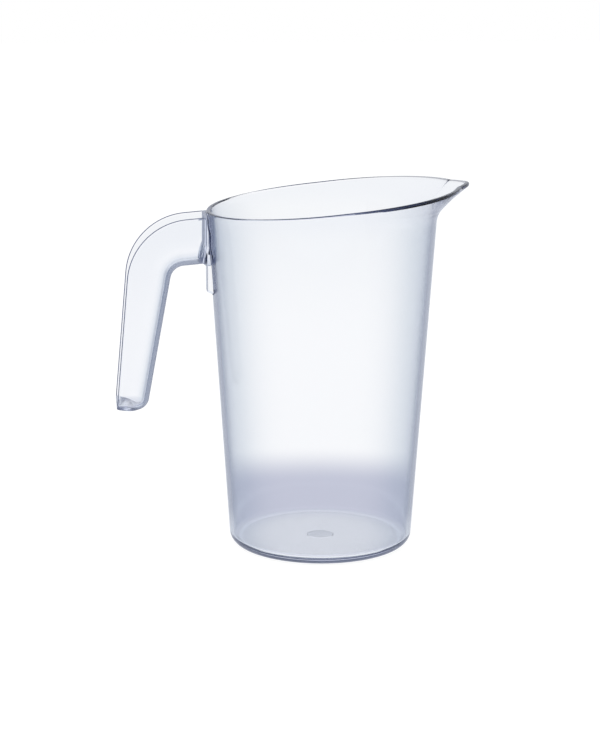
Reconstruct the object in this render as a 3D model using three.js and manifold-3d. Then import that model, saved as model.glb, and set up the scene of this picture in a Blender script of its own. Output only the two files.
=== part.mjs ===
// Clear stacking pitcher: a tapered jug with a sloping rim and a flared pouring lip, and an open hook handle
// that slides up over a rail on the jug's back.
// Millimetres, +Z up. The origin is on the jug's axis, on the surface it stands on. The spout is at +X and the
// handle at -X.
import * as THREE from 'three';
import { mergeVertices } from 'three/addons/utils/BufferGeometryUtils.js';
import Module from 'manifold-3d';

const wasm = await Module();
wasm.setup();

// Jug wall and floor
const BASE_RADIUS = 51; // outside of the wall, carried down to the table
const DRAFT = 0.067; // how far the wall leans out for each millimetre of height
const WALL = 2.5;
const FLOOR = 4.2;
const BASE_CORNER = 6.6; // outside corner between wall and underside
const FLOOR_CORNER = 6.5; // inside corner between wall and floor

// Mark of the moulding gate
const GATE_RADIUS = 7.5;
const GATE_DEPTH = 0.4; // the gate disc is sunk this far into the underside

// Rim and pouring lip
const RIM_HEIGHT = 195.8; // on the jug's axis
const RIM_SLOPE = 0.1; // the rim climbs towards the spout
const LIP_REACH = 12.2; // how far the lip stands out from the line of the wall
const LIP_EASE = 1; // softens the start of the lip on both sides
const LIP_DEPTH = 14; // height of the flare at the spout
const RIM_LAND = 1.4; // width of the rim's flat top; the rest of the wall is taken off inside as a chamfer
const RIM_BAND = 2.4; // height of the wall's top band where there is no lip
const RIM_EDGE = 1; // least height of the upright edge at the rim
const RIM_EASE = 0.3; // taken off the rim's two edges
const BLEND_SHARE = 0.4; // share of the flare that eases into the wall

// Nose in the middle of the lip
const NOSE_REACH = 5;
const NOSE_HALF_WIDTH = 15.5;
const NOSE_ROUNDING = 0.4; // 0 is a sharp V

// Rail on the back of the jug that carries the handle
const RAIL_PROUD = 0.3; // stands out from the wall at the rim
const RAIL_HALF_WIDTH = 5.5;
const RAIL_UNDERCUT = 0.25; // each flank narrows this much for each millimetre towards the wall
const RAIL_DROP = 0.6; // top of the rail below the rim
const RAIL_LENGTH = 43.5;
const RAIL_FOOT_SLOPE = 0.55; // the lower end slants down to the wall
const RAIL_ROOT = 0.6; // share of the wall's thickness that the rail is rooted in
const FIT_GAP = 0.3; // clearance between the handle and the jug

// Handle, seen from the side: an arm that falls a little and a grip that leans away from the jug
const HANDLE_WIDTH = 28.8;
const HANDLE_WALL = 2.4;
const HANDLE_DROP = 1.6; // top of the handle below the rim
const HANDLE_LENGTH = 105.8; // from the top to the outer corner of the free end
const ARM_DEPTH = 27;
const ARM_FALL = 0.085; // fall for each millimetre outwards
const ARM_REACH = 41.1; // from the seat to the outer corner
const GRIP_DEPTH = 22.6; // between the outer and the inner corner
const OUTER_LEAN = 0.09;
const INNER_LEAN = 0.185;
const OUTER_BEND = 36;
const INNER_BEND = 8;
const GRIP_ROUND = 12; // rounding of the grip's inner edges
const TIP_ROUND = 7; // rounding of the free end
const TIP_SLOPE = 0.2; // the free end falls this much for each millimetre towards the jug
const SEAT_WALL = 1.2; // plate that closes the channel against the rail
const HEEL_DROP = 1.6; // the seat runs on below the arm
const HEEL_RUN = 2.5; // the heel dies out over this length of the arm
const GUSSET = 3.2; // fillet in the channel, between the seat's plate and the arm's underside

// Fineness
const SIDE_STEP = THREE.MathUtils.degToRad(6);
const BACK_STEP = THREE.MathUtils.degToRad(7.5);
const NOSE_STEPS = 4;
const CORNER_STEPS = 5;
const BLEND_STEPS = 5;
const BEND_STEPS = 14;
const ROUND_STEPS = 6;
const EASE_STEPS = 2;

const wallRadius = (z) => BASE_RADIUS + DRAFT * z;
const backRimHeight = (RIM_HEIGHT - RIM_SLOPE * BASE_RADIUS) / (1 + RIM_SLOPE * DRAFT);
const railFace = wallRadius(backRimHeight) + RAIL_PROUD;
const seat = railFace + FIT_GAP;
const handleTop = backRimHeight - HANDLE_DROP;

// A closed mesh as a solid that can be joined and cut
function toSolid(geometry) {
  const bare = geometry.clone();
  bare.deleteAttribute('normal');
  bare.deleteAttribute('uv');
  const merged = mergeVertices(bare, 1e-4);
  const vertProperties = new Float32Array(merged.attributes.position.array);
  const triVerts = new Uint32Array(merged.index.array);
  return new wasm.Manifold(new wasm.Mesh({ numProp: 3, vertProperties, triVerts }));
}

// A finished solid as a mesh with its own finish
function toMesh(name, solid, material) {
  const { vertProperties, triVerts } = solid.getMesh();
  const geometry = new THREE.BufferGeometry();
  geometry.setAttribute('position', new THREE.BufferAttribute(new Float32Array(vertProperties), 3));
  geometry.setIndex(new THREE.BufferAttribute(new Uint32Array(triVerts), 1));
  geometry.computeVertexNormals();
  const mesh = new THREE.Mesh(geometry, material);
  mesh.name = name;
  return mesh;
}

function toGeometry(points, triangles) {
  const geometry = new THREE.BufferGeometry();
  geometry.setAttribute('position', new THREE.Float32BufferAttribute(points, 3));
  geometry.setIndex(triangles);
  return geometry;
}

// A body turned about Z whose outline may change with the angle. The outline runs from the axis underneath,
// out and up, and back to the axis on top.
function turned(outlineAt, angles) {
  const outlines = angles.map(outlineAt);
  const last = outlines[0].length - 1;
  const rows = last - 1;
  const points = [0, 0, outlines[0][0].y, 0, 0, outlines[0][last].y];
  const triangles = [];
  const vertex = (column, row) => 2 + (column % angles.length) * rows + row - 1;
  angles.forEach((angle, column) => {
    for (let row = 1; row <= rows; row += 1) {
      const { x: radius, y: height } = outlines[column][row];
      points.push(radius * Math.cos(angle), radius * Math.sin(angle), height);
    }
    triangles.push(0, vertex(column + 1, 1), vertex(column, 1));
    triangles.push(1, vertex(column, rows), vertex(column + 1, rows));
    for (let row = 1; row < rows; row += 1) {
      const a = vertex(column, row);
      const b = vertex(column + 1, row);
      const c = vertex(column + 1, row + 1);
      const d = vertex(column, row + 1);
      triangles.push(a, b, c, a, c, d);
    }
  });
  return toGeometry(points, triangles);
}

// A solid through a row of like rings, closed at both ends
function lofted(rings) {
  const count = rings[0].length;
  const points = rings.flatMap((ring) => ring.flatMap((point) => [point.x, point.y, point.z]));
  const triangles = [];
  for (let i = 0; i + 1 < rings.length; i += 1) {
    for (let j = 0; j < count; j += 1) {
      const a = i * count + j;
      const b = i * count + ((j + 1) % count);
      triangles.push(a, a + count, b + count, a, b + count, b);
    }
  }
  const end = (rings.length - 1) * count;
  for (let j = 1; j + 1 < count; j += 1) {
    triangles.push(0, j, j + 1);
    triangles.push(end, end + j + 1, end + j);
  }
  return toGeometry(points, triangles);
}

// An upright slab from an outline of (distance out from the axis towards -X, height), centred on the handle
function slab(outline, width) {
  const shape = new THREE.Shape(outline.map(([out, height]) => new THREE.Vector2(-out, height)));
  const geometry = new THREE.ExtrudeGeometry(shape, { depth: width, bevelEnabled: false });
  geometry.rotateX(Math.PI / 2);
  geometry.translate(0, width / 2, 0);
  return toSolid(geometry);
}

// A standing prism from an outline of (distance out from the axis towards -X, sideways)
function prism(outline, bottom, top) {
  const shape = new THREE.Shape(outline.map(([out, sideways]) => new THREE.Vector2(-out, sideways)));
  const geometry = new THREE.ExtrudeGeometry(shape, { depth: top - bottom, bevelEnabled: false });
  geometry.translate(0, 0, bottom);
  return toSolid(geometry);
}

const arcPoints = (centreX, centreY, radius, from, to, steps) => Array.from({ length: steps + 1 }, (_, i) => {
  const angle = from + ((to - from) * i) / steps;
  return new THREE.Vector2(centreX + radius * Math.cos(angle), centreY + radius * Math.sin(angle));
});

// A corner eased by a curve that leaves it by the same length on both sides
function easedCorner(corner, before, after, length, steps) {
  const start = corner.clone().addScaledVector(before.clone().sub(corner).normalize(), length);
  const end = corner.clone().addScaledVector(after.clone().sub(corner).normalize(), length);
  return new THREE.QuadraticBezierCurve(start, corner, end).getPoints(steps);
}

// How far the rim stands out from the line of the wall. In plan the lip is the wall's own circle moved towards
// the spout, and it dies out where the two circles cross.
function lipReach(angle) {
  const radius = wallRadius(RIM_HEIGHT);
  const across = LIP_REACH * Math.sin(angle);
  const beyond = LIP_REACH * Math.cos(angle) + Math.sqrt(radius ** 2 - across ** 2) - radius;
  return (beyond + Math.hypot(beyond, LIP_EASE)) / 2;
}

const noseAngle = Math.asin(NOSE_HALF_WIDTH / (wallRadius(RIM_HEIGHT) + LIP_REACH));

function noseReach(angle) {
  const across = Math.abs(angle) / noseAngle;
  if (across >= 1) {
    return 0;
  }
  const rounded = (t) => Math.hypot(t, NOSE_ROUNDING) - NOSE_ROUNDING;
  return NOSE_REACH * (1 - rounded(across) / rounded(1));
}

// Outline of the jug at one angle, from under the floor round the rim to the inside of the floor
function jugOutline(angle) {
  const facing = Math.max(0, Math.cos(angle));
  const reach = lipReach(angle) + noseReach(angle);
  const climb = RIM_SLOPE * Math.cos(angle);
  const rim = (RIM_HEIGHT + climb * (BASE_RADIUS + reach)) / (1 - climb * DRAFT);
  const rimRadius = wallRadius(rim) + reach;
  const flare = RIM_BAND + (LIP_DEPTH - RIM_BAND) * facing;

  const outerTop = new THREE.Vector2(rimRadius, rim);
  const innerTop = new THREE.Vector2(rimRadius - RIM_LAND, rim);
  const chamferFoot = new THREE.Vector2(rimRadius - WALL, rim - (WALL - RIM_LAND));
  const innerBend = new THREE.Vector2(wallRadius(rim - flare) - WALL, rim - flare);
  const flareTurn = chamferFoot.clone().sub(innerBend).angle();
  const wallTurn = Math.atan2(1, DRAFT);
  const bendHeight = rim - flare - WALL * Math.tan((wallTurn - flareTurn) / 2);
  const outerBend = new THREE.Vector2(wallRadius(bendHeight), bendHeight);
  const outerRun = (rimRadius - outerBend.x) * Math.tan(flareTurn);
  const edge = Math.max(RIM_EDGE, rim - (bendHeight + outerRun));
  const edgeFoot = new THREE.Vector2(rimRadius - DRAFT * edge, rim - edge);

  const cornerCentre = BASE_RADIUS + DRAFT * BASE_CORNER - BASE_CORNER * Math.hypot(1, DRAFT);
  const insideBottom = FLOOR + FLOOR_CORNER;
  const insideCentre = wallRadius(insideBottom) - WALL - FLOOR_CORNER;
  const outerWallFoot = new THREE.Vector2(wallRadius(BASE_CORNER), BASE_CORNER);
  const innerWallFoot = new THREE.Vector2(wallRadius(insideBottom) - WALL, insideBottom);
  const blend = BLEND_SHARE * flare;
  return [
    new THREE.Vector2(0, GATE_DEPTH),
    new THREE.Vector2(GATE_RADIUS - GATE_DEPTH, GATE_DEPTH),
    new THREE.Vector2(GATE_RADIUS, 0),
    ...arcPoints(cornerCentre, BASE_CORNER, BASE_CORNER, -Math.PI / 2, -Math.atan(DRAFT), CORNER_STEPS),
    ...easedCorner(outerBend, outerWallFoot, edgeFoot, blend, BLEND_STEPS),
    edgeFoot,
    ...easedCorner(outerTop, edgeFoot, innerTop, RIM_EASE, EASE_STEPS),
    ...easedCorner(innerTop, outerTop, chamferFoot, RIM_EASE, EASE_STEPS),
    chamferFoot,
    ...easedCorner(innerBend, chamferFoot, innerWallFoot, blend, BLEND_STEPS),
    ...arcPoints(insideCentre, insideBottom, FLOOR_CORNER, 0, -Math.PI / 2, CORNER_STEPS),
    new THREE.Vector2(0, FLOOR),
  ];
}

// Angles round the jug: finest across the nose, with a line on each of its creases
function jugAngles() {
  const half = [];
  for (let i = 1; i <= NOSE_STEPS; i += 1) {
    half.push((noseAngle * i) / NOSE_STEPS);
  }
  const quarter = Math.PI / 2;
  const sideCount = Math.round((quarter - noseAngle) / SIDE_STEP);
  for (let i = 1; i <= sideCount; i += 1) {
    half.push(noseAngle + ((quarter - noseAngle) * i) / sideCount);
  }
  const backCount = Math.round(quarter / BACK_STEP);
  for (let i = 1; i < backCount; i += 1) {
    half.push(quarter + (quarter * i) / backCount);
  }
  const mirrored = half.map((angle) => 2 * Math.PI - angle).reverse();
  return [0, ...half, Math.PI, ...mirrored].map((angle) => (angle > Math.PI ? angle - 2 * Math.PI : angle));
}

// The rail's form, grown on all sides by a clearance: a dovetail in plan, cut off by its side outline. The root
// gives how far in the form reaches at each height.
function railForm(grow, top, bottom, root) {
  const flank = RAIL_HALF_WIDTH + grow * Math.hypot(1, RAIL_UNDERCUT);
  const halfWidthAt = (out) => flank + RAIL_UNDERCUT * (out - railFace);
  const face = railFace + grow;
  const foot = bottom - RAIL_FOOT_SLOPE * (face - root(bottom));
  const far = face + WALL;
  const near = root(foot) - WALL;
  const farHalf = halfWidthAt(far);
  const nearHalf = halfWidthAt(near);
  const plan = [[far, farHalf], [far, -farHalf], [near, -nearHalf], [near, nearHalf]];
  const side = [[face, top], [root(top), top], [root(foot), foot], [face, bottom]];
  const dovetail = prism(plan, foot - WALL, top + WALL);
  return slab(side, 4 * RAIL_HALF_WIDTH).intersect(dovetail);
}

function makeJug() {
  const vessel = toSolid(turned(jugOutline, jugAngles()));
  const railTop = backRimHeight - RAIL_DROP;
  const rail = railForm(0, railTop, railTop - RAIL_LENGTH, (z) => wallRadius(z) - RAIL_ROOT * WALL);
  return vessel.add(rail);
}

// Side lines of the handle as (distance out from the seat, height). The inset moves the hand's side into the
// plastic and the free end up, for the hollow of the channel; the open side then stands clear by the same amount.
// The root gives the first sections as (distance out, lift of the underside).
function handleStations(inset, root) {
  const top = (out) => handleTop - ARM_FALL * out + inset;
  const under = (out) => handleTop - ARM_DEPTH - ARM_FALL * out + inset * Math.hypot(1, ARM_FALL);
  const outerCornerHeight = handleTop - ARM_FALL * ARM_REACH;
  const innerCornerOut = ARM_REACH - GRIP_DEPTH;
  const innerCornerHeight = handleTop - ARM_DEPTH - ARM_FALL * innerCornerOut;
  const outer = (height) => ARM_REACH + OUTER_LEAN * (outerCornerHeight - height) + inset;
  const shift = inset * Math.hypot(1, INNER_LEAN);
  const inner = (height) => innerCornerOut + shift + INNER_LEAN * (innerCornerHeight - height);

  // Round a bend: an arc between the arm's line and the grip's line
  const bend = (armLine, gripLine, lean, radius) => {
    const cornerOut = gripLine(armLine(0)) / (1 - lean * ARM_FALL);
    const corner = new THREE.Vector2(cornerOut, armLine(cornerOut));
    const back = new THREE.Vector2(-1, ARM_FALL).normalize();
    const down = new THREE.Vector2(lean, -1).normalize();
    const half = Math.acos(back.dot(down)) / 2;
    const middle = back.clone().add(down).normalize();
    const centre = corner.clone().addScaledVector(middle, radius / Math.sin(half));
    const from = back.angle() - Math.PI / 2;
    return arcPoints(centre.x, centre.y, radius, from, from - Math.PI + 2 * half, BEND_STEPS);
  };
  const outerBend = bend(top, outer, OUTER_LEAN, OUTER_BEND + inset);
  const innerBend = bend(under, inner, INNER_LEAN, INNER_BEND + inset);

  // Across the grip at a slant that ends square to the free end, rounded in towards it by a share of a quarter turn
  const tip = handleTop - HANDLE_LENGTH + inset * Math.hypot(1, TIP_SLOPE);
  const tipRound = TIP_ROUND - inset;
  const acrossGrip = (turn) => {
    const height = tip + tipRound * (1 - Math.sin(turn));
    const outerPoint = new THREE.Vector2(outer(height), height);
    const rounded = tipRound * (1 - Math.cos(turn));
    const level = (outerPoint.x - inner(height) - rounded) / (1 - TIP_SLOPE * INNER_LEAN);
    const innerHeight = height - TIP_SLOPE * level;
    return [outerPoint, new THREE.Vector2(inner(innerHeight) + rounded, innerHeight)];
  };
  const turns = Array.from({ length: ROUND_STEPS + 1 }, (_, i) => ((Math.PI / 2) * i) / ROUND_STEPS);
  return [
    ...root.map(([out, lift]) => [new THREE.Vector2(out, top(out)), new THREE.Vector2(out, under(out) + lift)]),
    ...outerBend.map((point, i) => [point, innerBend[i]]),
    ...turns.map(acrossGrip),
  ];
}

// A U section between an outer and an inner point of the side view, rounded on the hand's side
function handleRing([outerPoint, innerPoint], halfWidth, largest) {
  const depth = outerPoint.distanceTo(innerPoint);
  const rounding = Math.min(largest, depth, halfWidth);
  const across = [
    new THREE.Vector2(0, -halfWidth),
    ...arcPoints(depth - rounding, rounding - halfWidth, rounding, -Math.PI / 2, 0, ROUND_STEPS),
    ...arcPoints(depth - rounding, halfWidth - rounding, rounding, 0, Math.PI / 2, ROUND_STEPS),
    new THREE.Vector2(0, halfWidth),
  ];
  return across.map(({ x: inwards, y: sideways }) => {
    const place = outerPoint.clone().lerp(innerPoint, inwards / depth);
    return new THREE.Vector3(-seat - place.x, sideways, place.y);
  });
}

function handleForm(inset, root) {
  const halfWidth = HANDLE_WIDTH / 2 - inset;
  const stations = handleStations(inset, root);
  return toSolid(lofted(stations.map((station) => handleRing(station, halfWidth, GRIP_ROUND - inset))));
}

// The root runs on past the seat into the jug's place, and is then cut to the wall and the rail with a clearance,
// so two cheeks stand beside the rail.
function makeHandle() {
  const heelFoot = handleTop - ARM_DEPTH - HEEL_DROP;
  const past = wallRadius(heelFoot) - WALL - seat;
  const body = handleForm(0, [[past, -HEEL_DROP], [0, -HEEL_DROP], [HEEL_RUN, 0]]);
  const channel = handleForm(HANDLE_WALL, [[SEAT_WALL, GUSSET], [SEAT_WALL + GUSSET, 0]]);
  const wallOutline = () => [
    new THREE.Vector2(0, 0),
    new THREE.Vector2(wallRadius(0) + FIT_GAP, 0),
    new THREE.Vector2(wallRadius(RIM_HEIGHT) + FIT_GAP, RIM_HEIGHT),
    new THREE.Vector2(0, RIM_HEIGHT),
  ];
  const jugSpace = toSolid(turned(wallOutline, jugAngles()));
  const belowHeel = heelFoot - HANDLE_WALL;
  const railSpace = railForm(FIT_GAP, RIM_HEIGHT, belowHeel, (z) => wallRadius(z) - WALL);
  return body.subtract(channel).subtract(jugSpace).subtract(railSpace);
}

const clearPlastic = () => new THREE.MeshStandardMaterial({
  color: 0xdde4f0,
  roughness: 0.08,
  metalness: 0,
  transparent: true,
  opacity: 0.35,
});

const pitcher = new THREE.Group();
pitcher.add(toMesh('jug_body', makeJug(), clearPlastic()));
pitcher.add(toMesh('handle', makeHandle(), clearPlastic()));

export default pitcher;
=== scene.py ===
# %% [markdown]
# # A clear stacking pitcher
# The pitcher is two mouldings of clear plastic: a tapered jug with a pouring lip, and an open hook handle
# that slides up over a rail on the jug's back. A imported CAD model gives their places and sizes. Its faces are
# flat facets, and clear plastic shows every facet by the way it bends light, so this lesson makes both pieces
# again as fine smooth meshes in the same places, and then gives them plastic, light and a camera.

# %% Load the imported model
import math

import bmesh
import bpy
from mathutils import Matrix, Vector


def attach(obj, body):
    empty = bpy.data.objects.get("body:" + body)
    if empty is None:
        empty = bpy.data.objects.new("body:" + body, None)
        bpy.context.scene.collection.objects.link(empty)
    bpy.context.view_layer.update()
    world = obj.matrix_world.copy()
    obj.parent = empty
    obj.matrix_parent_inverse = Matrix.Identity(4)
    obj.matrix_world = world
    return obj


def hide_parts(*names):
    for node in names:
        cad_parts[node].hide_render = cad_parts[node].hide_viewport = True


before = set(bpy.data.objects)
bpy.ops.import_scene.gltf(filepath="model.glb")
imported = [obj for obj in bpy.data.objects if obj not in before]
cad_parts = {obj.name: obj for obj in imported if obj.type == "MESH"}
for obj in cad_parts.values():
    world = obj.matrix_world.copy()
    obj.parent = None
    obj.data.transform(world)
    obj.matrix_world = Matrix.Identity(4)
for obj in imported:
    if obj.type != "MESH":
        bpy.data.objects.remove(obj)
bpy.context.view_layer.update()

# %% [markdown]
# ## Sizes
# Lengths of the two mouldings are in millimetres, as on a drawing, and turn into metres when a mesh is made.
# Mouldings that fit each other share values: the slope of the wall is one number, used by the jug and by the
# handle's seat. The rim lies in one plane that rises towards the spout, so its height is given at the axis.

# %% Wall and rim of the jug
PER_METRE = 1000
BASE_RADIUS = 51.0
DRAFT = 0.067
WALL = 2.5
RIM_HEIGHT = 195.8
RIM_SLOPE = 0.1


def wall_radius(height):
    """Outside of the wall at a height."""
    return BASE_RADIUS + DRAFT * height


back_rim = (RIM_HEIGHT - RIM_SLOPE * BASE_RADIUS) / (1 + RIM_SLOPE * DRAFT)
print("rim at the back: %.1f mm high" % back_rim)

# %% [markdown]
# ## Curves for a section
# A moulded section is straight runs joined by rounded corners. Blender has curve objects for this, but here
# the section changes with the angle round the jug, so plain functions that return points are easier to steer.
# An arc makes the large corners, and a quadratic curve eases a corner of any angle.

# %% Arcs, eased corners and points between


def arc(centre, radius, start, end, steps):
    """Points on a circle from one angle to another, in degrees."""
    turns = [math.radians(start + (end - start) * i / steps) for i in range(steps + 1)]
    return [centre + radius * Vector((math.cos(t), math.sin(t))) for t in turns]


def eased(corner, before, after, length, steps):
    """A corner rounded by a curve that leaves it by the same length on both sides."""
    start = corner + length * (before - corner).normalized()
    end = corner + length * (after - corner).normalized()
    shares = [i / steps for i in range(steps + 1)]
    return [start * (1 - t) ** 2 + corner * (2 * t * (1 - t)) + end * t ** 2 for t in shares]


def between(start, end, steps):
    """Points between two others, without these."""
    return [start.lerp(end, i / steps) for i in range(1, steps)]


corner = eased(Vector((0, 0)), Vector((0, 1)), Vector((1, 0)), 1, 4)
print("an eased corner:", [tuple(round(v, 2) for v in point) for point in corner])

# %% [markdown]
# ## The lip and the nose
# Seen from above, the lip is the rim's own circle moved towards the spout: it stands out most in front and
# dies out at the sides, where the two circles cross. In its middle a small nose draws the stream together. It
# meets the lip in two creases, which a real mould rounds a little, so both functions are softened where they
# start.

# %% Reach of the lip and of the nose
LIP_REACH = 12.2
LIP_START = 1.0
NOSE_REACH = 5.0
NOSE_HALF_WIDTH = 15.5
NOSE_ROUND = 0.4
NOSE_EASE = 0.25

nose_angle = math.asin(NOSE_HALF_WIDTH / (wall_radius(RIM_HEIGHT) + LIP_REACH))


def soft_start(value, ease):
    """The value where it is positive, and zero elsewhere, with a soft turn between."""
    return (value + math.hypot(value, ease)) / 2


def lip_reach(angle):
    """How far the lip stands out from the wall's circle."""
    radius = wall_radius(RIM_HEIGHT)
    across = LIP_REACH * math.sin(angle)
    beyond = LIP_REACH * math.cos(angle) + math.sqrt(radius ** 2 - across ** 2) - radius
    return soft_start(beyond, LIP_START)


def nose_reach(angle, ease):
    """How far the nose stands out from the lip. The ease rounds its two creases."""
    across = abs(angle) / nose_angle
    rounded = math.hypot(across, NOSE_ROUND) - NOSE_ROUND
    whole = math.hypot(1, NOSE_ROUND) - NOSE_ROUND
    return soft_start(NOSE_REACH * (1 - rounded / whole), ease)


print("lip %.1f mm and nose %.1f mm at the tip" % (lip_reach(0), nose_reach(0, NOSE_EASE)))

# %% [markdown]
# ## The jug's section
# One list of points runs from the middle of the underside, up the outside, over the rim and down the inside
# to the middle of the floor. Both faces of the wall are in it, because clear plastic only bends light as it
# should when the mesh is a closed solid with a true thickness. The underside has a small sunk disc in its
# middle, where the plastic ran into the mould.

# %% Underside and floor
FLOOR = 4.2
BASE_CORNER = 6.6
FLOOR_CORNER = 2.5
FLOOR_RINGS = (0.75, 0.5, 0.25)
GATE_RADIUS = 7.5
GATE_DEPTH = 0.4
SECTION_STEPS = {"under": 4, "corner": 14, "wall": 24, "blend": 14, "edge": 4}


def under_section():
    """The sunk disc of the moulding gate, the flat underside and the rounded corner."""
    corner_x = BASE_RADIUS + DRAFT * BASE_CORNER - BASE_CORNER * math.hypot(1, DRAFT)
    gate = Vector((GATE_RADIUS, 0))
    sunk = Vector((GATE_RADIUS - GATE_DEPTH, GATE_DEPTH))
    rings = [Vector((sunk.x / 2, GATE_DEPTH)), sunk, gate]
    rings += between(gate, Vector((corner_x, 0)), SECTION_STEPS["under"])
    turn = -math.degrees(math.atan(DRAFT))
    return rings + arc(Vector((corner_x, BASE_CORNER)), BASE_CORNER, -90, turn, SECTION_STEPS["corner"])


def inside_section():
    """Rounded corner of the floor, and rings on the floor itself."""
    corner_top = FLOOR + FLOOR_CORNER
    centre = Vector((wall_radius(corner_top) - WALL - FLOOR_CORNER, corner_top))
    rings = [Vector((centre.x * share, FLOOR)) for share in FLOOR_RINGS]
    return arc(centre, FLOOR_CORNER, 0, -90, SECTION_STEPS["corner"]) + rings


print("points below the wall:", len(under_section()), "outside,", len(inside_section()), "inside")

# %% [markdown]
# ## Rim and wall
# A rim looks like one line, but its section has a flat top, an upright outer side and a chamfer on each edge.
# The chamfers throw light back inside, which draws the rim as a dark line. They are widest at the jug's sides
# and shrink towards the spout and the handle, as the line does. Below the rim the lip bends out of the wall,
# and the creases of the nose fade on the way down.

# %% Chamfers of the rim, and the fading creases
RIM_INNER = 1.2
INNER_LEAST = 0.3
INNER_SAVING = 0.4
RIM_OUTER = 1.05
OUTER_LEAST = 0.35
NOSE_FADE = 6.0


def rim_chamfers(angle):
    """Widths of the chamfers on the inner and the outer edge of the rim."""
    sideways = math.sin(angle) ** 2
    facing = max(0.0, math.cos(angle))
    inner = RIM_INNER * (INNER_LEAST + (1 - INNER_LEAST) * sideways) * (1 - INNER_SAVING * facing)
    return inner, RIM_OUTER * (OUTER_LEAST + (1 - OUTER_LEAST) * sideways)


def crease_faded(points, angle, low, high):
    """Softens the creases of the nose more and more below the rim."""
    for point in points:
        up = min(1.0, max(0.0, (point.y - low) / (high - low)))
        soft = nose_reach(angle, NOSE_EASE + NOSE_FADE * (1 - up) ** 2)
        point.x += up * (soft - nose_reach(angle, NOSE_EASE))
    return points


print("rim chamfers at the side: %.2f mm inside, %.2f mm outside" % rim_chamfers(math.pi / 2))

# %% Place of the rim
RIM_BAND = 3.2
LIP_DEPTH = 14.0


def rim_place(angle):
    """Radius and height of the rim, and how far below it the lip bends out of the wall."""
    reach = lip_reach(angle) + nose_reach(angle, NOSE_EASE)
    climb = RIM_SLOPE * math.cos(angle)
    rim = (RIM_HEIGHT + climb * (BASE_RADIUS + reach)) / (1 - climb * DRAFT)
    flare = RIM_BAND + (LIP_DEPTH - RIM_BAND) * max(0.0, math.cos(angle))
    return wall_radius(rim) + reach, rim, flare


print("tip of the spout: %.1f mm from the axis, %.1f mm high" % rim_place(0.0)[:2])

# %% Section at one angle
RIM_EDGE = 1.6
RIM_EASE = 0.2
BLEND = 0.4


def jug_section(angle):
    """Points from the middle of the underside, over the rim, to the middle of the floor."""
    radius, rim, flare = rim_place(angle)
    inner, outer = rim_chamfers(angle)
    inner_top = Vector((radius - WALL + inner, rim))
    chamfer_foot = Vector((radius - WALL, rim - inner))
    outer_land = Vector((radius - outer, rim))
    outer_side = Vector((radius - DRAFT * outer, rim - outer))

    inner_bend = Vector((wall_radius(rim - flare) - WALL, rim - flare))
    slope = math.atan2(chamfer_foot.y - inner_bend.y, chamfer_foot.x - inner_bend.x)
    low = rim - flare - WALL * math.tan((math.atan2(1, DRAFT) - slope) / 2)
    outer_bend = Vector((wall_radius(low), low))
    edge = max(RIM_EDGE, rim - low - (radius - outer_bend.x) * math.tan(slope))
    edge_foot = Vector((radius - DRAFT * edge, rim - edge))

    under, inside = under_section(), inside_section()
    steps = SECTION_STEPS
    outer_blend = eased(outer_bend, under[-1], edge_foot, BLEND * flare, steps["blend"])
    inner_blend = eased(inner_bend, chamfer_foot, inside[0], BLEND * flare, steps["blend"])
    points = under + between(under[-1], outer_blend[0], steps["wall"]) + outer_blend
    points += eased(edge_foot, outer_bend, outer_side, RIM_EASE, steps["edge"])
    points += eased(outer_side, edge_foot, outer_land, RIM_EASE / 2, steps["edge"])
    points += eased(outer_land, outer_side, inner_top, RIM_EASE / 2, steps["edge"])
    points += eased(inner_top, outer_land, chamfer_foot, RIM_EASE / 2, steps["edge"])
    points += eased(chamfer_foot, inner_top, inner_bend, RIM_EASE, steps["edge"])
    points += inner_blend + between(inner_blend[-1], inside[0], steps["wall"]) + inside
    return crease_faded(points, angle, rim - flare, rim)


print("points in a section:", len(jug_section(0.0)))

# %% [markdown]
# ## Turning the section
# Blender's Spin tool sweeps one section round an axis. This jug has another section at every angle, so the
# mesh is made as a grid: a column of points for each angle, and quads between neighbouring columns. The
# columns stand close together at the creases of the nose, and the two middles are closed with fans of
# triangles.

# %% Angles of the columns
COLUMN_STEP = 1.5
NOSE_COLUMNS = 14
CREASE_COLUMNS = (-1.6, -1.0, -0.6, -0.35, -0.15, 0.0, 0.15, 0.35, 0.6, 1.0, 1.6)


def jug_angles():
    """Angles round the jug, mirrored about the spout."""
    crease = math.degrees(nose_angle)
    inner = crease + CREASE_COLUMNS[0]
    outer = crease + CREASE_COLUMNS[-1]
    count = round((180 - outer) / COLUMN_STEP)
    half = [inner * i / NOSE_COLUMNS for i in range(1, NOSE_COLUMNS)]
    half += [crease + offset for offset in CREASE_COLUMNS]
    half += [outer + (180 - outer) * i / count for i in range(1, count)]
    return [math.radians(a) for a in [0.0] + half + [180.0] + [-a for a in reversed(half)]]


print("columns:", len(jug_angles()))

# %% Grid of sections


def finished_object(name, shape):
    """Turns a bmesh into an object in the scene."""
    mesh = bpy.data.meshes.new(name)
    shape.to_mesh(mesh)
    shape.free()
    piece = bpy.data.objects.new(name, mesh)
    bpy.context.scene.collection.objects.link(piece)
    return piece


def turned(name, section_at, angles):
    """A closed body whose section may change with the angle. Flat fans close its two ends."""
    shape = bmesh.new()
    sections = [section_at(angle) for angle in angles]
    columns = []
    for angle, points in zip(angles, sections):
        spoke = Vector((math.cos(angle), math.sin(angle), 0))
        places = [(spoke * p.x + Vector((0, 0, p.y))) / PER_METRE for p in points]
        columns.append([shape.verts.new(place) for place in places])
    low = shape.verts.new((0, 0, sections[0][0].y / PER_METRE))
    high = shape.verts.new((0, 0, sections[0][-1].y / PER_METRE))
    for here, there in zip(columns, columns[1:] + columns[:1]):
        shape.faces.new((low, there[0], here[0]))
        shape.faces.new((high, here[-1], there[-1]))
        for row in range(len(here) - 1):
            shape.faces.new((here[row], there[row], there[row + 1], here[row + 1]))
    return finished_object(name, shape)


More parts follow.
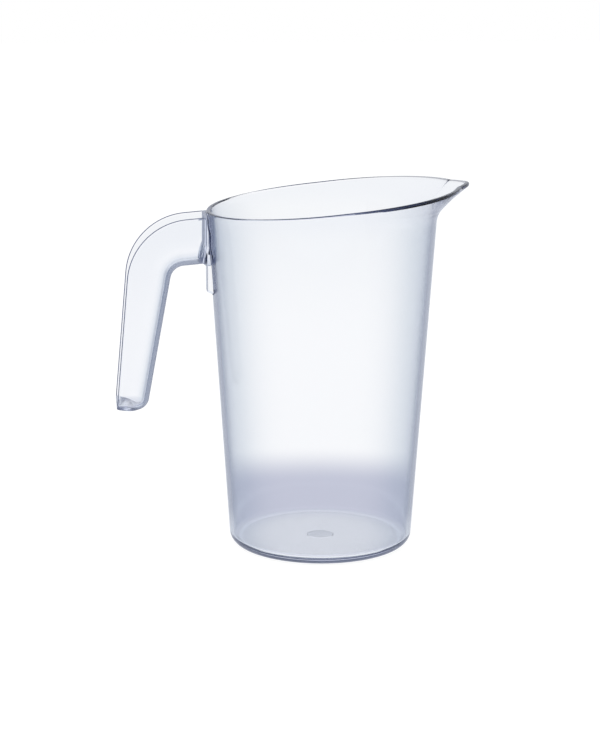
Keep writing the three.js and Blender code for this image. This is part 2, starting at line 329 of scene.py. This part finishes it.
jug = turned("clear_jug", jug_section, jug_angles())
print("jug:", len(jug.data.vertices), "points,", len(jug.data.polygons), "faces")

# %% [markdown]
# ## The rail
# A short upright rail on the jug's back carries the handle. Its face is upright while the wall leans, so it
# stands out more at its lower end, and its flanks narrow towards the wall like a dovetail. It is made as a
# block of eight corners and joined to the jug with an exact Boolean: two overlapping solids would bend light
# twice.

# %% Rail block
RAIL_PROUD = 0.3
RAIL_HALF_WIDTH = 5.5
RAIL_UNDERCUT = 0.25
RAIL_FOOT_SLOPE = 0.55

rail_face = wall_radius(back_rim) + RAIL_PROUD


def rail_block(name, grow, top, bottom, sink):
    """The rail's form, grown by a clearance. Its inner side lies under the wall's face by the sink."""
    face = rail_face + grow
    flank = RAIL_HALF_WIDTH + grow * math.hypot(1, RAIL_UNDERCUT)
    foot = bottom - RAIL_FOOT_SLOPE * (face - wall_radius(bottom) + sink)
    side = [(face, top), (wall_radius(top) - sink, top), (wall_radius(foot) - sink, foot), (face, bottom)]
    shape = bmesh.new()
    rings = []
    for way in (-1, 1):
        corners = [(-out, way * (flank + RAIL_UNDERCUT * (out - rail_face)), z) for out, z in side]
        rings.append([shape.verts.new(Vector(c) / PER_METRE) for c in corners])
    shape.faces.new(rings[0])
    shape.faces.new(reversed(rings[1]))
    for i in range(len(side)):
        j = (i + 1) % len(side)
        shape.faces.new((rings[0][j], rings[0][i], rings[1][i], rings[1][j]))
    bmesh.ops.recalc_face_normals(shape, faces=shape.faces)
    return finished_object(name, shape)


print("rail face %.1f mm from the axis" % rail_face)

# %% Join the rail to the jug
RAIL_DROP = 0.6
RAIL_LENGTH = 43.5
RAIL_ROOT = 0.6


def combined(piece, tool, operation):
    """Joins or cuts a piece with a tool by an exact Boolean, and deletes the tool."""
    step = piece.modifiers.new("step", "BOOLEAN")
    step.object = tool
    step.operation = operation
    step.solver = "EXACT"
    result = bpy.data.meshes.new_from_object(piece.evaluated_get(bpy.context.evaluated_depsgraph_get()))
    piece.modifiers.clear()
    piece.data = result
    bpy.data.objects.remove(tool)
    return piece


rail_top = back_rim - RAIL_DROP
rail = rail_block("rail", 0, rail_top, rail_top - RAIL_LENGTH, RAIL_ROOT * WALL)
combined(jug, rail, "UNION")
print("jug with rail:", len(jug.data.vertices), "points")

# %% [markdown]
# ## The handle
# From the side the handle is an arm that falls a little and a grip that leans away from the jug. Its
# cross-section is a channel: two side walls and a rounded inner side, open to the outside, closed at the free
# end. The outer form and the hollow are made by one function with an inset, as lofts through like rings, and
# the hollow is cut out.

# %% Sizes of the handle
FIT_GAP = 0.3
HANDLE_WIDTH = 28.8
HANDLE_WALL = 2.4
HANDLE_DROP = 1.6
HANDLE_LENGTH = 105.8
ARM_DEPTH = 27.0
ARM_FALL = 0.085
ARM_REACH = 41.1
GRIP_DEPTH = 22.6
OUTER_LEAN = 0.09
INNER_LEAN = 0.185
OUTER_BEND = 36.0
INNER_BEND = 8.0
TIP_ROUND = 7.0
TIP_SLOPE = 0.2

seat = rail_face + FIT_GAP
handle_top = back_rim - HANDLE_DROP
print("seat %.1f mm from the axis, handle top %.1f mm high" % (seat, handle_top))

# %% Side lines of the handle
BEND_STEPS = 40
ROUND_STEPS = 16


def bend_arc(arm_line, grip_line, lean, radius):
    """The arc between the arm's line and the grip's line."""
    out = grip_line(arm_line(0)) / (1 - lean * ARM_FALL)
    corner = Vector((out, arm_line(out)))
    back = Vector((-1, ARM_FALL)).normalized()
    down = Vector((lean, -1)).normalized()
    half = math.acos(back.dot(down)) / 2
    centre = corner + (back + down).normalized() * (radius / math.sin(half))
    start = math.degrees(math.atan2(back.y, back.x)) - 90
    return arc(centre, radius, start, start - 180 + 2 * math.degrees(half), BEND_STEPS)


def handle_stations(inset, root):
    """An outer and an inner point for each section, as (distance out from the seat, height)."""
    corner_height = handle_top - ARM_FALL * ARM_REACH
    inner_out = ARM_REACH - GRIP_DEPTH
    inner_height = handle_top - ARM_DEPTH - ARM_FALL * inner_out
    shift = inset * math.hypot(1, INNER_LEAN)
    lift = inset * math.hypot(1, ARM_FALL)

    def top(out):
        return handle_top - ARM_FALL * out + inset

    def under(out):
        return handle_top - ARM_DEPTH - ARM_FALL * out + lift

    def outer(height):
        return ARM_REACH + OUTER_LEAN * (corner_height - height) + inset

    def inner(height):
        return inner_out + shift + INNER_LEAN * (inner_height - height)

    def across_grip(turn):
        rounding = TIP_ROUND - inset
        tip = handle_top - HANDLE_LENGTH + inset * math.hypot(1, TIP_SLOPE)
        height = tip + rounding * (1 - math.sin(turn))
        rounded = rounding * (1 - math.cos(turn))
        level = (outer(height) - inner(height) - rounded) / (1 - TIP_SLOPE * INNER_LEAN)
        low = height - TIP_SLOPE * level
        return Vector((outer(height), height)), Vector((inner(low) + rounded, low))

    outer_bend = bend_arc(top, outer, OUTER_LEAN, OUTER_BEND + inset)
    inner_bend = bend_arc(under, inner, INNER_LEAN, INNER_BEND + inset)
    stations = [(Vector((out, top(out))), Vector((out, under(out) + rise))) for out, rise in root]
    stations += zip(outer_bend, inner_bend)
    return stations + [across_grip(math.pi / 2 * i / ROUND_STEPS) for i in range(ROUND_STEPS + 1)]


print("stations beyond the root:", len(handle_stations(0, [])))

# %% [markdown]
# ## Roots of the handle and of its channel
# Where a handle meets its jug, the section grows a little: a short heel below the arm, and a gusset inside
# the channel. Both die out like a fillet. The root also runs on into the jug's place, to be cut to fit later.

# %% Root sections
HEEL_DROP = 1.6
HEEL_RUN = 2.5
SEAT_WALL = 1.2
GUSSET = 3.2
ROOT_RUN = 2.0
FADE_STEPS = 8


def fading(start, length, rise):
    """Root sections whose rise dies out like a fillet, as (distance out from the seat, rise)."""
    shares = [i / FADE_STEPS for i in range(FADE_STEPS + 1)]
    return [(start + length * t, rise * (1 - t) ** 2) for t in shares]


body_root = [(-WALL - ROOT_RUN, -HEEL_DROP)] + fading(0, HEEL_RUN, -HEEL_DROP)
channel_root = fading(SEAT_WALL, GUSSET, GUSSET)
print("root sections:", len(body_root), "outside,", len(channel_root), "inside")

# %% Rings of the handle
GRIP_ROUND = 12.0
EDGE_CHAMFER = 1.05
EDGE_RUN = 0.1


def body_edge(half_width):
    """The chamfered outer edge of a side wall, as (depth, distance from the middle)."""
    return [Vector((0, half_width - EDGE_CHAMFER)), Vector((EDGE_CHAMFER, half_width))]


def channel_edge(half_width):
    """The edge on the channel's side. It runs on beyond the handle's face, so that it cuts clean."""
    run = HANDLE_WALL + EDGE_CHAMFER
    return [Vector((0, half_width + run)), Vector((run, half_width))]


def handle_ring(outer, inner, edge, half_width, rounding):
    """A section with two edges on the outer side and two rounded corners on the hand's side."""
    depth = (outer - inner).length
    start = edge(half_width)
    rounding = min(rounding, depth - start[-1].x - EDGE_RUN)
    half = start + arc(Vector((depth - rounding, half_width - rounding)), rounding, 90, 0, ROUND_STEPS)
    across = [Vector((p.x, -p.y)) for p in half] + half[::-1]
    places = [(outer.lerp(inner, p.x / depth), p.y) for p in across]
    return [Vector((-seat - place.x, side, place.y)) / PER_METRE for place, side in places]


root_ring = handle_ring(*handle_stations(0, body_root)[0], body_edge, HANDLE_WIDTH / 2, GRIP_ROUND)
print("points in a ring:", len(root_ring))

# %% Loft the handle and cut its channel


def handle_form(name, inset, root, edge):
    """A solid lofted through the rings of all stations."""
    shape = bmesh.new()
    half_width = HANDLE_WIDTH / 2 - inset
    rings = []
    for outer, inner in handle_stations(inset, root):
        ring = handle_ring(outer, inner, edge, half_width, GRIP_ROUND - inset)
        rings.append([shape.verts.new(p) for p in ring])
    for here, there in zip(rings, rings[1:]):
        for i in range(len(here)):
            j = (i + 1) % len(here)
            shape.faces.new((here[i], here[j], there[j], there[i]))
    shape.faces.new(rings[0])
    shape.faces.new(reversed(rings[-1]))
    bmesh.ops.recalc_face_normals(shape, faces=shape.faces)
    return finished_object(name, shape)


handle = handle_form("clear_handle", 0, body_root, body_edge)
combined(handle, handle_form("channel", HANDLE_WALL, channel_root, channel_edge), "DIFFERENCE")
print("handle with its channel:", len(handle.data.vertices), "points")

# %% [markdown]
# ## Seating the handle
# Cutting the handle's root with the jug's cone and with the rail, both grown by the fitting gap, leaves two
# cheeks that stand beside the rail and follow the round wall. This is how a designer keeps a fit: the second
# piece is cut by the first one's own form. The bond between them is never even, so the seat is cut with a
# slight wave.

# %% Cut the seat
SEAT_STEPS = 160
SEAT_WAVE = 0.2
SEAT_WAVE_LENGTH = 12.0


def cone_section(angle):
    """The jug's outside with the fitting gap and the wave, the same at every angle."""
    heights = [RIM_HEIGHT * i / SEAT_STEPS for i in range(SEAT_STEPS + 1)]
    waves = [SEAT_WAVE * math.sin(2 * math.pi * z / SEAT_WAVE_LENGTH) for z in heights]
    return [Vector((wall_radius(z) + FIT_GAP + wave, z)) for z, wave in zip(heights, waves)]


heel_foot = handle_top - ARM_DEPTH - HEEL_DROP
combined(handle, turned("jug_place", cone_section, jug_angles()), "DIFFERENCE")
rail_place = rail_block("rail_place", FIT_GAP, RIM_HEIGHT, heel_foot - HANDLE_WALL, WALL)
combined(handle, rail_place, "DIFFERENCE")
print("seated handle:", len(handle.data.vertices), "points")

# %% [markdown]
# ## Smooth faces and true edges
# Smooth shading blends the direction of neighbouring faces, which hides the facets of the rounded parts. Flat
# faces must not blend with their neighbours, so each edge that turns more than a small angle is marked sharp.

# %% Shade both pieces
SHARP_ANGLE = 17

for piece in (jug, handle):
    piece.data.polygons.foreach_set("use_smooth", [True] * len(piece.data.polygons))
    piece.data.set_sharp_from_angle(angle=math.radians(SHARP_ANGLE))
    print(piece.name, "faces:", len(piece.data.polygons))

# %% [markdown]
# ## Building with nodes
# A material is a tree of nodes. Adding a node, setting its values and linking it take several lines each
# time, so a few helpers do it: one adds any node, one mixes two colours, one rises softly from zero to one,
# one multiplies, and one tells where a point of the object lies. The plastic, the floor and the world are
# made with them.

# %% Helpers for nodes


def node(tree, kind, inputs, **settings):
    """A new node. Each input is a plain value, or the socket that drives it."""
    made = tree.nodes.new("ShaderNode" + kind)
    for name, value in settings.items():
        setattr(made, name, value)
    for name, value in inputs.items():
        if isinstance(value, bpy.types.NodeSocket):
            tree.links.new(value, made.inputs[name])
        else:
            made.inputs[name].default_value = value
    return made


def colour_mix(tree, factor, first, second):
    """A mix of two colours, each a socket or three numbers."""
    first, second = [(*colour, 1) if isinstance(colour, tuple) else colour for colour in (first, second)]
    mix = node(tree, "Mix", {"Factor": factor, "A": first, "B": second}, data_type="RGBA")
    return mix.outputs["Result"]


def soft_step(tree, value, start, end):
    """Zero at the start, one at the end, with a soft turn between, whichever of the two is larger."""
    limits = {"Value": value, "From Min": start, "From Max": end}
    return node(tree, "MapRange", limits, interpolation_type="SMOOTHSTEP").outputs["Result"]


def product(tree, first, second):
    """Two numbers multiplied, each a socket or a value."""
    return node(tree, "Math", {0: first, 1: second}, operation="MULTIPLY").outputs[0]


print("node helpers:", [helper.__name__ for helper in (node, colour_mix, soft_step, product)])

# %% Zones of the object
ZONE_TOP_FADE = 0.001


def zone(tree, place, height, radius, fade):
    """One below a height and within a radius of the axis, and zero beyond a soft edge, in metres."""
    apart = node(tree, "SeparateXYZ", {"Vector": place})
    flat = node(tree, "VectorMath", {0: place, 1: (1, 1, 0)}, operation="MULTIPLY")
    away = node(tree, "VectorMath", {0: flat.outputs[0]}, operation="LENGTH")
    low = soft_step(tree, apart.outputs["Z"], height + ZONE_TOP_FADE, height)
    near = soft_step(tree, away.outputs["Value"], radius + fade, radius)
    return product(tree, low, near)


print("a zone's upper edge fades within %.0f mm" % (ZONE_TOP_FADE * PER_METRE))

# %% [markdown]
# ## Tint and painted shade of clear plastic
# Clear plastic has a faint cold tint, and a wall looks darker the more it turns away from the eye, because
# light then runs a longer way inside it. Absorption in the body alone gives too little of this in a thin
# wall, so the face takes a painted shade that deepens with its slant, which Layer Weight tells. The lip is
# clearer. The moulding gate takes a painted shadow, the handle's tip is greyer, and the thin top edge of
# the lip has a painted dark line that stands in for the rim's shade.

# %% Colour of the face and its painted shade
# Painted shade: the face darkens with its slant, more than absorption alone would make it.
SLANT_SHADE_TINTS = (
    (0.08, (0.985, 0.99, 1.0)),
    (0.52, (0.805, 0.845, 0.89)),
    (0.66, (0.755, 0.80, 0.865)),
    (0.86, (0.52, 0.57, 0.65)),
)
LIP_TINT = (0.95, 0.96, 0.985)
LIP_FADE = 0.018
# A painted dark line along the top edge of the rim, in front, stands in for the rim's shade.
RIM_SHADE_TINT = (0.22, 0.23, 0.26)
RIM_SHADE_LINE = (0.00045, 0.00015)
RIM_SHADE_LINE_START = (0.006, 0.026)


def slant_shade(tree):
    """The painted shade that deepens as the face turns away."""
    slant = node(tree, "LayerWeight", {}).outputs["Facing"]
    shade_ramp = node(tree, "ValToRGB", {"Fac": slant})
    shade_ramp.color_ramp.interpolation = "EASE"
    while len(shade_ramp.color_ramp.elements) < len(SLANT_SHADE_TINTS):
        shade_ramp.color_ramp.elements.new(1)
    for stop, (position, colour) in zip(shade_ramp.color_ramp.elements, SLANT_SHADE_TINTS):
        stop.position = position
        stop.color = (*colour, 1)
    return shade_ramp.outputs["Color"]


def face_colour(tree, place, darker_patch, darker_patch_zone, lip_height):
    """The slant's painted shade, clearer on the lip, with a darker patch in one zone and a painted dark line on
    the rim's edge.
    """
    apart = node(tree, "SeparateXYZ", {"Vector": place})
    on_lip = soft_step(tree, apart.outputs["Z"], lip_height, lip_height + LIP_FADE)
    colour = colour_mix(tree, on_lip, slant_shade(tree), LIP_TINT)
    # A darker patch in one zone: a painted shadow at the jug's moulding gate, a greyer tip on the handle.
    colour = colour_mix(tree, zone(tree, place, *darker_patch_zone), colour, darker_patch)
    # The painted dark line that stands in for the rim's shade, in front only.
    rise = node(tree, "VectorMath", {0: place, 1: (-RIM_SLOPE, 0, 1)}, operation="DOT_PRODUCT")
    below_rim = [RIM_HEIGHT / PER_METRE - depth for depth in RIM_SHADE_LINE]
    on_rim_shade = soft_step(tree, rise.outputs["Value"], *below_rim)
    in_front = soft_step(tree, apart.outputs["X"], *RIM_SHADE_LINE_START)
    return colour_mix(tree, product(tree, on_rim_shade, in_front), colour, RIM_SHADE_TINT)


print("tint of a face seen square:", SLANT_SHADE_TINTS[0][1], "and at a slant:", SLANT_SHADE_TINTS[-1][1])

# %% [markdown]
# ## Polish and waves
# A moulded face is not quite even. Patches of slightly duller polish come from noise, and one zone of each
# moulding is matte: the foot of the jug, worn by tables, and the tip of the handle. A broad, very shallow
# waviness comes from bump, which is enough here because it never changes an outline.

# %% Roughness and bump
POLISH_SCALE = 26
POLISH_DETAIL = 4
POLISH_NOISE = (0.35, 0.75)
DULLEST = 0.06
WAVE_DETAIL = 1
WAVE_DEPTH = 0.00004


def dullness(tree, place, matte, matte_zone):
    """Roughness in faint patches, and more of it in the matte zone."""
    noise = node(tree, "TexNoise", {"Vector": place, "Scale": POLISH_SCALE, "Detail": POLISH_DETAIL})
    limits = {"From Min": POLISH_NOISE[0], "From Max": POLISH_NOISE[1], "To Max": DULLEST}
    patches = node(tree, "MapRange", {"Value": noise.outputs["Fac"], **limits})
    matted = product(tree, zone(tree, place, *matte_zone), matte)
    return node(tree, "Math", {0: patches.outputs["Result"], 1: matted}, operation="MAXIMUM").outputs[0]


def waviness(tree, place, scale):
    """Shallow waves of a moulded face."""
    noise = node(tree, "TexNoise", {"Vector": place, "Scale": scale, "Detail": WAVE_DETAIL})
    relief = {"Height": noise.outputs["Fac"], "Strength": 1, "Distance": WAVE_DEPTH}
    return node(tree, "Bump", relief).outputs["Normal"]


print("waves %.2f mm deep" % (WAVE_DEPTH * PER_METRE))

# %% [markdown]
# ## The plastic of each moulding
# Polycarbonate and its kin bend light more than water does, so the index of refraction is 1.49, and the body
# absorbs a little red. The handle's plastic absorbs more than the jug's, because its walls look greyer. Both
# come from one function, and each piece then takes its CAD node's place in the frame.

# %% One clear plastic
PLASTIC_IOR = 1.49
GLOSS_TINT = (0.3, 0.3, 0.3)
BODY_TINT = (0.70, 0.74, 0.86)


def clear_plastic(name, density, wave_scale, matte, matte_zone, darker_patch, darker_patch_zone, lip_height):
    """Clear plastic. Each zone is a height, a radius and the width of its soft edge, in metres."""
    material = bpy.data.materials.new(name)
    material.use_nodes = True
    tree = material.node_tree
    place = node(tree, "TexCoord", {}).outputs["Object"]
    surface = tree.nodes["Principled BSDF"]
    surface.inputs["Transmission Weight"].default_value = 1
    surface.inputs["IOR"].default_value = PLASTIC_IOR
    surface.inputs["Specular Tint"].default_value = (*GLOSS_TINT, 1)
    tree.links.new(face_colour(tree, place, darker_patch, darker_patch_zone, lip_height), surface.inputs["Base Color"])
    tree.links.new(dullness(tree, place, matte, matte_zone), surface.inputs["Roughness"])
    tree.links.new(waviness(tree, place, wave_scale), surface.inputs["Normal"])
    body = node(tree, "VolumeAbsorption", {"Color": (*BODY_TINT, 1), "Density": density})
    tree.links.new(body.outputs["Volume"], tree.nodes["Material Output"].inputs["Volume"])
    return material


print("plastic bends light by", PLASTIC_IOR)

# %% Plastic for the jug and the handle
# The gate's grey is a painted shadow on the sunk disc of the moulding gate.
GATE_SHADE = (0.55, 0.57, 0.62)
TIP_TINT = (0.86, 0.88, 0.93)
TIP_ZONE = (0.0825, 0.2, 0.01)
NO_LIP = 1.0

jug_plastic = clear_plastic(
    "jug_plastic",
    density=8,
    wave_scale=14,
    matte=0.16,
    matte_zone=(0.0055, 0.043, 0.004),
    darker_patch=GATE_SHADE,
    darker_patch_zone=(0.0006, 0.005, 0.0035),
    lip_height=0.178,
)
handle_plastic = clear_plastic(
    "handle_plastic",
    density=34,
    wave_scale=22,
    matte=0.2,
    matte_zone=TIP_ZONE,
    darker_patch=TIP_TINT,
    darker_patch_zone=TIP_ZONE,
    lip_height=NO_LIP,
)
for piece, finish, node_name, slot in ((jug, jug_plastic, "jug_body", "clear_body"),
                                       (handle, handle_plastic, "handle", "clear_handle")):
    piece.data.materials.clear()
    piece.data.materials.append(finish)
    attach(piece, "root")
    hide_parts(node_name)
    print(piece.name, "stands for", node_name)

# %% [markdown]
# ## What the plastic shows of the room
# Clear things are photographed against a bright ground: what shows is how they bend that ground, and their
# edges are dark where they bend the darker room into view. A whole room could be modelled for this. Here the
# floor and the world have another tone for light that comes by way of the plastic: pale where it came
# straight through or off the outside, and darker the more often it was thrown back inside.

# %% Tones for light from the plastic
WHITE = (1.0, 1.0, 1.0)
OUTSIDE_TONE = (0.80, 0.83, 0.90)
INSIDE_TONE = (0.42, 0.45, 0.54)
TRAPPED_TONE = (0.24, 0.26, 0.34)


def room_tone(tree, rays, straight, inside):
    """What light sees that came straight through, was thrown back inside, or came off the outside."""
    tone = straight
    for turns, colour in enumerate((inside, TRAPPED_TONE)):
        more = node(tree, "Math", {0: rays.outputs["Glossy Depth"], 1: turns}, operation="GREATER_THAN")
        tone = colour_mix(tree, more.outputs[0], tone, colour)
    return colour_mix(tree, rays.outputs["Is Transmission Ray"], OUTSIDE_TONE, tone)


def by_ray(tree, rays, plain, from_plastic, to_camera):
    """One shader for plain light, one for light that comes by way of the plastic, and one for the camera."""
    bent = {0: rays.outputs["Is Glossy Ray"], 1: rays.outputs["Is Transmission Ray"]}
    clear_rays = node(tree, "Math", bent, operation="MAXIMUM").outputs[0]
    unseen = node(tree, "MixShader", {0: clear_rays, 1: plain.outputs[0], 2: from_plastic.outputs[0]})
    seen = {0: rays.outputs["Is Camera Ray"], 1: unseen.outputs[0], 2: to_camera.outputs[0]}
    return node(tree, "MixShader", seen).outputs[0]


print("tones of the room:", OUTSIDE_TONE, INSIDE_TONE, TRAPPED_TONE)

# %% [markdown]
# ## The floor
# The floor is pale paper that looks white to the camera and keeps a soft shadow. Through the plastic it shows
# a grey round the foot, partly the table's own tone and partly painted shade round the jug. It lies a hair
# below the jug: a thin film of air under the base makes the underside a mirror, as it is on a real table.

# %% Floor and its tones
FLOOR_SIZE = 8.0
AIR_GAP = 0.0004
FAR_TONE = (0.945, 0.955, 0.965)
# The grey ring round the foot is partly the table's tone and partly painted shade of the jug.
TABLE_AND_SHADE_TONE = (0.575, 0.59, 0.695)
UNDER_TONE = (1.0, 0.99, 1.0)
GROUND_TONES = ((WHITE, 0.5, 1.2), (TABLE_AND_SHADE_TONE, 0.125, 0.213), (UNDER_TONE, 0.03, 0.06))
FOOT_TONE = (0.88, 0.91, 0.96)
FOOT_RING = (0.052, 0.1)


def ground_tone(tree, distance):
    """The floor's tone for light that came straight through, from far off to under the jug."""
    tone = FAR_TONE
    for colour, start, end in GROUND_TONES:
        tone = colour_mix(tree, soft_step(tree, distance, start, end), colour, tone)
    return tone


shape = bmesh.new()
bmesh.ops.create_grid(shape, x_segments=1, y_segments=1, size=FLOOR_SIZE / 2)
floor = finished_object("studio_floor", shape)
floor.location.z = -AIR_GAP
print("floor:", FLOOR_SIZE, "m")

# %% Paper of the floor
PAPER = (0.82, 0.83, 0.85)
WHITE_LEVEL = 0.9
SHADOW_PAPER = (0.2, 0.2, 0.2)

paper = bpy.data.materials.new("studio_paper")
paper.use_nodes = True
tree = paper.node_tree
tree.nodes.clear()
rays = node(tree, "LightPath", {})
place = node(tree, "TexCoord", {}).outputs["Object"]
distance = node(tree, "VectorMath", {0: place}, operation="LENGTH").outputs["Value"]

pale = node(tree, "BsdfDiffuse", {"Color": (*PAPER, 1)})
white = node(tree, "Emission", {"Strength": WHITE_LEVEL})
shade = node(tree, "BsdfDiffuse", {"Color": (*SHADOW_PAPER, 1)})
lit_white = node(tree, "AddShader", {0: white.outputs[0], 1: shade.outputs[0]})
bounced = colour_mix(tree, soft_step(tree, distance, *FOOT_RING), FOOT_TONE, INSIDE_TONE)
table = node(tree, "Emission", {"Color": room_tone(tree, rays, ground_tone(tree, distance), bounced)})
node(tree, "OutputMaterial", {"Surface": by_ray(tree, rays, pale, table, lit_white)})
floor.data.materials.append(paper)
print("paper:", len(tree.nodes), "nodes")

# %% [markdown]
# ## The world
# A studio's walls are bright and far off. A plain background does for them: it lights the jug at a level at
# which colours look as they are written, is white to the camera, and shows its tones to light from the
# plastic.

# %% World
ROOM_COLOUR = (0.95, 0.97, 1.0)
ROOM_LEVEL = 0.7
ROOM_INSIDE_TONE = (0.85, 0.88, 0.95)

world = bpy.data.worlds.new("studio")
bpy.context.scene.world = world
world.use_nodes = True
tree = world.node_tree
tree.nodes.clear()
rays = node(tree, "LightPath", {})
room = node(tree, "Background", {"Color": (*ROOM_COLOUR, 1), "Strength": ROOM_LEVEL})
around = node(tree, "Background", {"Color": room_tone(tree, rays, WHITE, ROOM_INSIDE_TONE)})
backdrop = node(tree, "Background", {"Color": (*WHITE, 1)})
node(tree, "OutputWorld", {"Surface": by_ray(tree, rays, room, around, backdrop)})
print("world: room level", ROOM_LEVEL)

# %% [markdown]
# ## The lamps
# Two large soft lamps stand above, one on the handle's side and a weaker one on the spout's. They are hidden
# from the plastic itself, because square lamps would show in it as hard white patches.

# %% Lamps
JUG_MIDDLE = Vector((0, 0, 0.1))


def soft_lamp(name, place, size, power):
    """A large square lamp that faces the middle of the jug."""
    light = bpy.data.lights.new(name, "AREA")
    light.size = size
    light.energy = power
    lamp = bpy.data.objects.new(name, light)
    lamp.location = place
    lamp.rotation_euler = (JUG_MIDDLE - lamp.location).to_track_quat("-Z", "Y").to_euler()
    lamp.visible_glossy = False
    lamp.visible_transmission = False
    bpy.context.scene.collection.objects.link(lamp)
    return lamp


soft_lamp("key_lamp", place=Vector((-1.1, -0.9, 1.6)), size=1.2, power=14)
soft_lamp("fill_lamp", place=Vector((1.3, -0.4, 1.3)), size=1.0, power=6)

# %% [markdown]
# ## How often light turns
# In clear plastic light is thrown back many times before it comes out, in the rim and in the floor of the jug
# most of all. Blender's usual limits end a path after a few turns and leave black there, so the limits go up.

# %% Limits for bounced light
ALL_TURNS = 120
CLEAR_TURNS = 100

limits = bpy.context.scene.cycles
limits.max_bounces = ALL_TURNS
limits.glossy_bounces = CLEAR_TURNS
limits.transmission_bounces = CLEAR_TURNS
print("bounces:", limits.max_bounces, limits.glossy_bounces, limits.transmission_bounces)

# %% [markdown]
# ## The camera
# A long lens a little over a metre away looks down on the jug by about thirteen degrees, and a little from
# the handle's side. The numbers come from fitting the rim, the base, the wall and the handle's edges. A small
# lens shift puts the jug where it stands in the frame, without turning the camera.

# %% Camera
IMAGE_WIDTH, IMAGE_HEIGHT = 600, 745
FOCAL_PIXELS = 2141.27
AIM_PIXEL = (321.14, 367.84)
SENSOR_WIDTH = 36
DISTANCE = 1.2
AZIMUTH, ELEVATION, ROLL = (math.radians(a) for a in (-6.914, 12.616, 0.322))

level_back = Vector((math.sin(AZIMUTH), -math.cos(AZIMUTH), 0))
back = level_back * math.cos(ELEVATION) + Vector((0, 0, math.sin(ELEVATION)))
level = Vector((math.cos(AZIMUTH), math.sin(AZIMUTH), 0))
right = level * math.cos(ROLL) + back.cross(level) * math.sin(ROLL)
turn = Matrix((right, back.cross(right), back)).transposed()

lens = bpy.data.cameras.new("camera")
lens.sensor_fit = "HORIZONTAL"
lens.sensor_width = SENSOR_WIDTH
lens.lens = FOCAL_PIXELS / IMAGE_WIDTH * SENSOR_WIDTH
lens.shift_x = (IMAGE_WIDTH / 2 - AIM_PIXEL[0]) / IMAGE_WIDTH
lens.shift_y = (AIM_PIXEL[1] - IMAGE_HEIGHT / 2) / IMAGE_WIDTH
camera = bpy.data.objects.new("camera", lens)
camera.matrix_world = Matrix.Translation(JUG_MIDDLE + back * DISTANCE) @ turn.to_4x4()
bpy.context.scene.collection.objects.link(camera)
bpy.context.scene.camera = camera
bpy.context.scene.view_settings.view_transform = "Standard"
print("lens %.1f mm at %s" % (lens.lens, [round(v, 3) for v in camera.location]))
